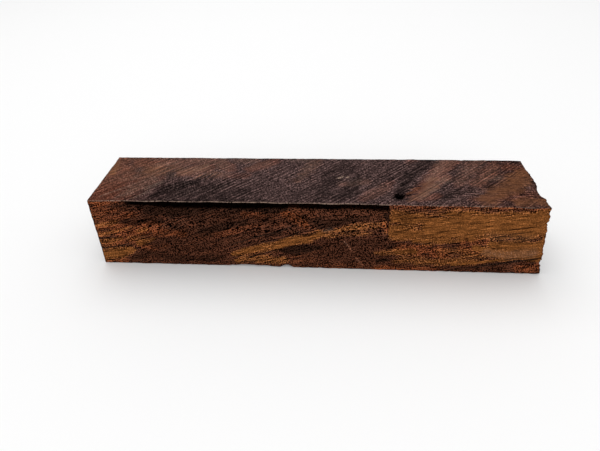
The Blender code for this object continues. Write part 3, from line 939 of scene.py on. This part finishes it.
def dark_lines(recipe, layer, along, front):
    """Share of the front's dark lines: each is full near its layer, and fades in and out along it."""
    total = None
    for start, end, at, down, half_width, strength in FRONT_LINES:
        level = float(grain_layer(np.array(at), down, 0.0))
        reach = half_width * 1.35
        near = recipe.between(abs(layer - level), reach, reach * 0.35, 0.0, strength)
        run = (end - start) * 0.3
        share = near * recipe.between(along, start - 0.5, start + run)
        share = share * recipe.between(along, end, end - run)
        total = share if total is None else total.maths("MAXIMUM", total, share)
    return total * front


def koa_material(colours):
    """Bare sawn koa: the mesh gives the broad tones, and the shader frays them and adds the grain.

    The frayed tones mix the colours, and the result is multiplied by ten to the power of the sum of
    the fibres, flecks and saw lines, and the brightest flecks get a painted highlight. Pores, dark
    lines, a weathered top with a painted sheen, end grain, torn fibres, painted shade under the lip
    and in the knot hole, and worn arrises are mixed in round that.
    """
    recipe = Recipe(SLOT)
    noise, between, mix, dimmed = recipe.noise, recipe.between, recipe.mix, recipe.dimmed
    place = recipe.node("ShaderNodeTexCoord", {}, {}, output=3)
    place = recipe.node("ShaderNodeVectorMath", {"operation": "SCALE"}, {0: place, "Scale": 1.0 / MM})
    grain = recipe.node("ShaderNodeAttribute", {"attribute_name": "grain"}, {}, output=1)
    along, layer, _ = recipe.axes(grain)
    gold, red, dark, pale = recipe.channels("tone")
    top, front, ends, worn = recipe.channels("face")
    # the last channels: the top's grey with its painted sheen, then painted shade under lip and in hole
    woolly, sawn, greyed_and_sheen, gap = recipe.channels("finish_sheen_and_shade")

    # noises along the grain: broad bands, long streaks and fine fibres
    broad = noise(grain, (6.0, 0.9, 1.4), detail=2.0, rough=0.55)
    streak = noise(grain, (9.0, 0.50, 0.9), detail=2.0, rough=0.55, offset=41.0)
    fibre = noise(grain, (4.0, 0.22, 0.40), offset=17.0)

    # noises across it: specks, and the steep fuzz that the saw raised
    speck = noise(place, (0.36, 0.50, 0.36), rough=0.45, offset=5.0)
    fuzz_front = noise(place, (1.1, 0.4, 0.26), offset=9.0, turn=(0, FUZZ_STEEP, 0))
    fuzz_top = noise(place, (1.3, 0.27, 0.4), offset=23.0, turn=(0, 0, -FUZZ_STEEP))
    fuzz = fuzz_front + (fuzz_top - fuzz_front) * top

    # tones frayed along the fibres
    fray = (broad - 0.5) * 0.5 + (streak - 0.5) * 0.25 + (fibre - 0.5) * 0.2
    gold_share = between(gold + fray, 0.02, 0.98)
    red_share = between(red + fray * 0.8, 0.02, 0.98)
    dark_share = between(dark + (speck - 0.5) * 0.6 - fray, 0.12, 0.82)
    tint = mix(red_share, rgba(colours.brown), rgba(colours.red))
    tint = mix(gold_share, tint, rgba(colours.gold))
    tint = mix(dark_share * 0.95, tint, rgba(colours.dark))

    # short pores, longer cracks and the drawn dark lines
    pores = noise(grain, (2.4, 0.30, 0.45), offset=31.0)
    cracks = noise(grain, (7.0, 0.26, 0.8), detail=0.0, offset=53.0)
    open_grain = between(pores, 0.60, 0.70) * 0.65 + between(cracks, 0.63, 0.71) * 0.75
    open_grain = open_grain * (1.0 - woolly * 0.7) * (1.0 - top * 0.75) * (1.0 - gold_share * 0.35)
    lines = dark_lines(recipe, layer + (speck - 0.5) * 0.25, along, front)
    opened = open_grain + lines * 0.95
    tint = mix(opened.maths("MINIMUM", opened, 1.0), tint, rgba(colours.dark))

    # weathered skin of the top with a painted sheen on it, greyest along the middle
    old_skin_and_sheen = dimmed(tuple(colours.weathered_and_sheen), 1.0 - dark_share * 0.62)
    tint = mix(greyed_and_sheen, tint, old_skin_and_sheen)

    # the saw's lines across the top: a ripple that drifts, and scratches that come and go
    sweep = recipe.stretched(place, (0, 0, SAW_SLANT), (1.0, 1.0, 1.0))
    passed = recipe.axes(sweep)[1]
    drift = noise(sweep, (40.0, 5.0, 40.0), detail=0.0, rough=0.55)
    teeth = passed * (SAW_PITCH - passed * SAW_PITCH_DROP) + drift * 1.4
    ripple = teeth.maths("SINE", teeth * (2.0 * math.pi), 0.0)
    scratch = noise(sweep, (11.0, 0.42, 11.0), detail=0.0, offset=3.0)
    patchy = between(noise(sweep, (9.0, 4.0, 9.0), offset=3.0), 0.30, 0.62, 0.5, 1.1)
    saw_lines = (ripple * 0.17 + (scratch - 0.5) * 1.12) * sawn * patchy

    # contrast from fibre to fibre
    streaks = (streak - 0.5) * 0.35 + (fibre - 0.5) * 1.45
    streaks = streaks * (1.0 - woolly * 0.6) * (1.0 - top * 0.8)
    flecks = (fuzz - 0.5) * (0.5 + woolly * 0.5 - top * 0.35)
    speckled = 0.24 + front * 0.76 + (top - sawn) * 0.25
    flecks = flecks + (speck - 0.5) * (2.2 - gold_share * 0.9) * speckled
    combed = noise(place, (2.6, 0.40, 0.4), offset=67.0)
    combed = (combed - 0.5) * (top - sawn) * between(along, *COMBED_FROM)
    texture = streaks + flecks + combed * 1.3
    gain = CONTRAST - red_share * RED_CALM
    gain = gain * (1.0 - gold_share * (GOLD_CALM - gold_share * GOLD_RETURN))
    gain = gain * (1.0 - top * 0.57) * (1.0 - (top - sawn) * 0.3)
    gain = gain * (0.62 + (front + top) * 0.38) * (1.0 - ends * 0.3)
    gain = gain * (1.0 - front * between(along, SEAM - 0.5, SEAM + 1.5) * 0.2)
    brightest = front * (1.2 - red_share - gold_share * 0.6) + BRIGHTEST
    contrast = texture.maths("POWER", 10.0, texture * gain + saw_lines)
    limited = contrast.maths("MINIMUM", contrast, brightest)
    tint = dimmed(tint, limited * (0.94 + top * 0.08))
    # painted highlight: the brightest flecks mixed toward the pale colour
    painted_highlight = between(contrast, 1.2, BRIGHTEST, 0.0, 0.06 + front * 0.02)
    painted_highlight = painted_highlight * (1.0 - front * dark_share * 0.6)
    tint = mix(painted_highlight, tint, rgba(colours.pale))

    # the ends: rings that follow the layers, and pores seen end on
    rings = noise(grain, (30.0, 0.55, 14.0), detail=2.0, rough=0.6, offset=77.0)
    tint = mix(between(rings, 0.38, 0.62) * 0.55 * ends, tint, rgba(colours.dark))
    holes = noise(place, (0.45, 0.45, 0.45), detail=0.0, offset=83.0)
    tint = dimmed(tint, 1.0 - between(holes, 0.62, 0.70) * ends * 0.75)

    # torn fibres, the painted shadow under the lip and in the knot hole, and worn arrises
    torn = between(fuzz * 0.6 + speck * 0.5 + pale * 0.25, 0.60, 0.80)
    tint = mix(torn * 0.02 + pale * (torn + 0.35), tint, rgba(colours.pale))
    # painted shade under the lip and in the knot hole darkens the colour
    tint = dimmed(tint, 1.0 - gap * 0.94)
    arris_share = worn * between(speck + broad, 0.72, 1.08)
    tint = mix(arris_share * 0.9, tint, rgba(colours.pale))
    recipe.feed("Base Color", tint)
    recipe.shader.inputs["Specular IOR Level"].default_value = 0.0

    # saw lines, pores and fuzz as relief
    height = fibre * 0.35 + fuzz * 0.4 + speck * 0.3 + saw_lines * 0.8
    height = height - open_grain * 0.5 - lines * 0.8
    recipe.feed("Normal", recipe.node("ShaderNodeBump", {},
                                      {"Height": height, "Strength": 0.9, "Distance": 0.22 * MM}))
    recipe.feed("Roughness", between(texture, -0.4, 0.4, 0.85, 0.55))
    return recipe.material


class KOA_OT_stick(bpy.types.Operator):
    """Build the koa stick in place of its plain solid"""
    bl_idname = "koa.stick"
    bl_label = "Koa stick"

    def execute(self, context):
        scene = context.scene
        mesh = stick_mesh(scene.koa_sizes)
        stick = bpy.data.objects.new(PIECE, mesh)
        scene.collection.objects.link(stick)
        mesh.materials.append(koa_material(scene.koa_colours))
        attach(stick, "root")
        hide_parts(NODE)
        return {"FINISHED"}


def lamp(scene, name, watts, place, target, size):
    """A square soft lamp that faces a target."""
    light = bpy.data.lights.new(name, "AREA")
    light.shape = "SQUARE"
    light.size = size
    light.energy = watts
    holder = bpy.data.objects.new(name, light)
    holder.location = place
    holder.rotation_euler = (Vector(target) - Vector(place)).to_track_quat("-Z", "Y").to_euler()
    scene.collection.objects.link(holder)


def make_floor(scene, floor_colour):
    """A wide pale floor, a flat square grid of four quads."""
    side = np.linspace(-FLOOR_REACH, FLOOR_REACH, 3)
    x, y = np.meshgrid(side, side, indexing="ij")
    points = np.stack([x.ravel(), y.ravel(), np.zeros(x.size)], axis=1)
    first = np.array([0, 1, 3, 4])
    quads = np.stack([first, first + 3, first + 4, first + 1], axis=1)
    mesh = bpy.data.meshes.new("floor")
    mesh.from_pydata(points, [], quads)
    mesh.update()
    floor = bpy.data.objects.new("floor", mesh)
    scene.collection.objects.link(floor)
    recipe = Recipe("floor")
    recipe.shader.inputs["Base Color"].default_value = rgba(floor_colour)
    recipe.shader.inputs["Roughness"].default_value = 0.9
    recipe.shader.inputs["Specular IOR Level"].default_value = 0.1
    mesh.materials.append(recipe.material)


def make_camera(scene, stage):
    """The camera at the photograph's viewing angle: turned, dipped, then rolled about its view."""
    turn, dip, roll = stage.turn, stage.dip, stage.roll
    view = Vector((math.sin(turn) * math.cos(dip), math.cos(turn) * math.cos(dip), -math.sin(dip)))
    level = Vector((math.cos(turn), -math.sin(turn), 0.0))
    upright = level.cross(view)
    right = level * math.cos(roll) + upright * math.sin(roll)
    up = upright * math.cos(roll) - level * math.sin(roll)
    lens = bpy.data.cameras.new("camera")
    lens.lens = stage.lens
    lens.shift_y = stage.shift
    lens.clip_start = 0.005
    camera = bpy.data.objects.new("camera", lens)
    facing = Matrix((right, up, -view)).transposed().to_4x4()
    camera.matrix_world = Matrix.Translation(Vector(stage.camera)) @ facing
    scene.collection.objects.link(camera)
    scene.camera = camera


class KOA_OT_stage(bpy.types.Operator):
    """Set the floor, the soft lamps, the even light all round and the camera"""
    bl_idname = "koa.stage"
    bl_label = "Studio stage"

    def execute(self, context):
        scene = context.scene
        stage = scene.koa_stage
        make_floor(scene, stage.floor)
        lamp(scene, "overhead", stage.overhead, OVERHEAD_PLACE, (0.0, 0.0, 0.0), OVERHEAD_SIZE)
        lamp(scene, "front", stage.front, FRONT_PLACE, STICK_MIDDLE, FRONT_SIZE)
        world = bpy.data.worlds.new("studio")
        world.use_nodes = True
        sky = world.node_tree.nodes["Background"]
        sky.inputs["Color"].default_value = (1.0, 1.0, 1.0, 1.0)
        sky.inputs["Strength"].default_value = stage.sky
        scene.world = world
        scene.view_settings.view_transform = "Standard"
        make_camera(scene, stage)
        return {"FINISHED"}


class KOA_PT_panel(bpy.types.Panel):
    """Lists the blank's operators and settings"""
    bl_idname = "KOA_PT_panel"
    bl_label = "Koa pen blank"
    bl_space_type = "VIEW_3D"
    bl_region_type = "UI"
    bl_category = "Koa"

    def draw(self, context):
        scene = context.scene
        for operator in (KOA_OT_stick, KOA_OT_stage):
            self.layout.operator(operator.bl_idname)
        for group in (scene.koa_sizes, scene.koa_colours, scene.koa_stage):
            box = self.layout.box()
            for name in type(group).__annotations__:
                box.prop(group, name)


CLASSES = (KoaSizes, KoaColours, KoaStage, KOA_OT_stick, KOA_OT_stage, KOA_PT_panel)


def register():
    for cls in CLASSES:
        bpy.utils.register_class(cls)
    bpy.types.Scene.koa_sizes = PointerProperty(type=KoaSizes)
    bpy.types.Scene.koa_colours = PointerProperty(type=KoaColours)
    bpy.types.Scene.koa_stage = PointerProperty(type=KoaStage)


def unregister():
    del bpy.types.Scene.koa_stage
    del bpy.types.Scene.koa_colours
    del bpy.types.Scene.koa_sizes
    for cls in reversed(CLASSES):
        bpy.utils.unregister_class(cls)


def main():
    register()
    bpy.ops.koa.stick()
    bpy.ops.koa.stage()


if __name__ == "__main__":
    main()
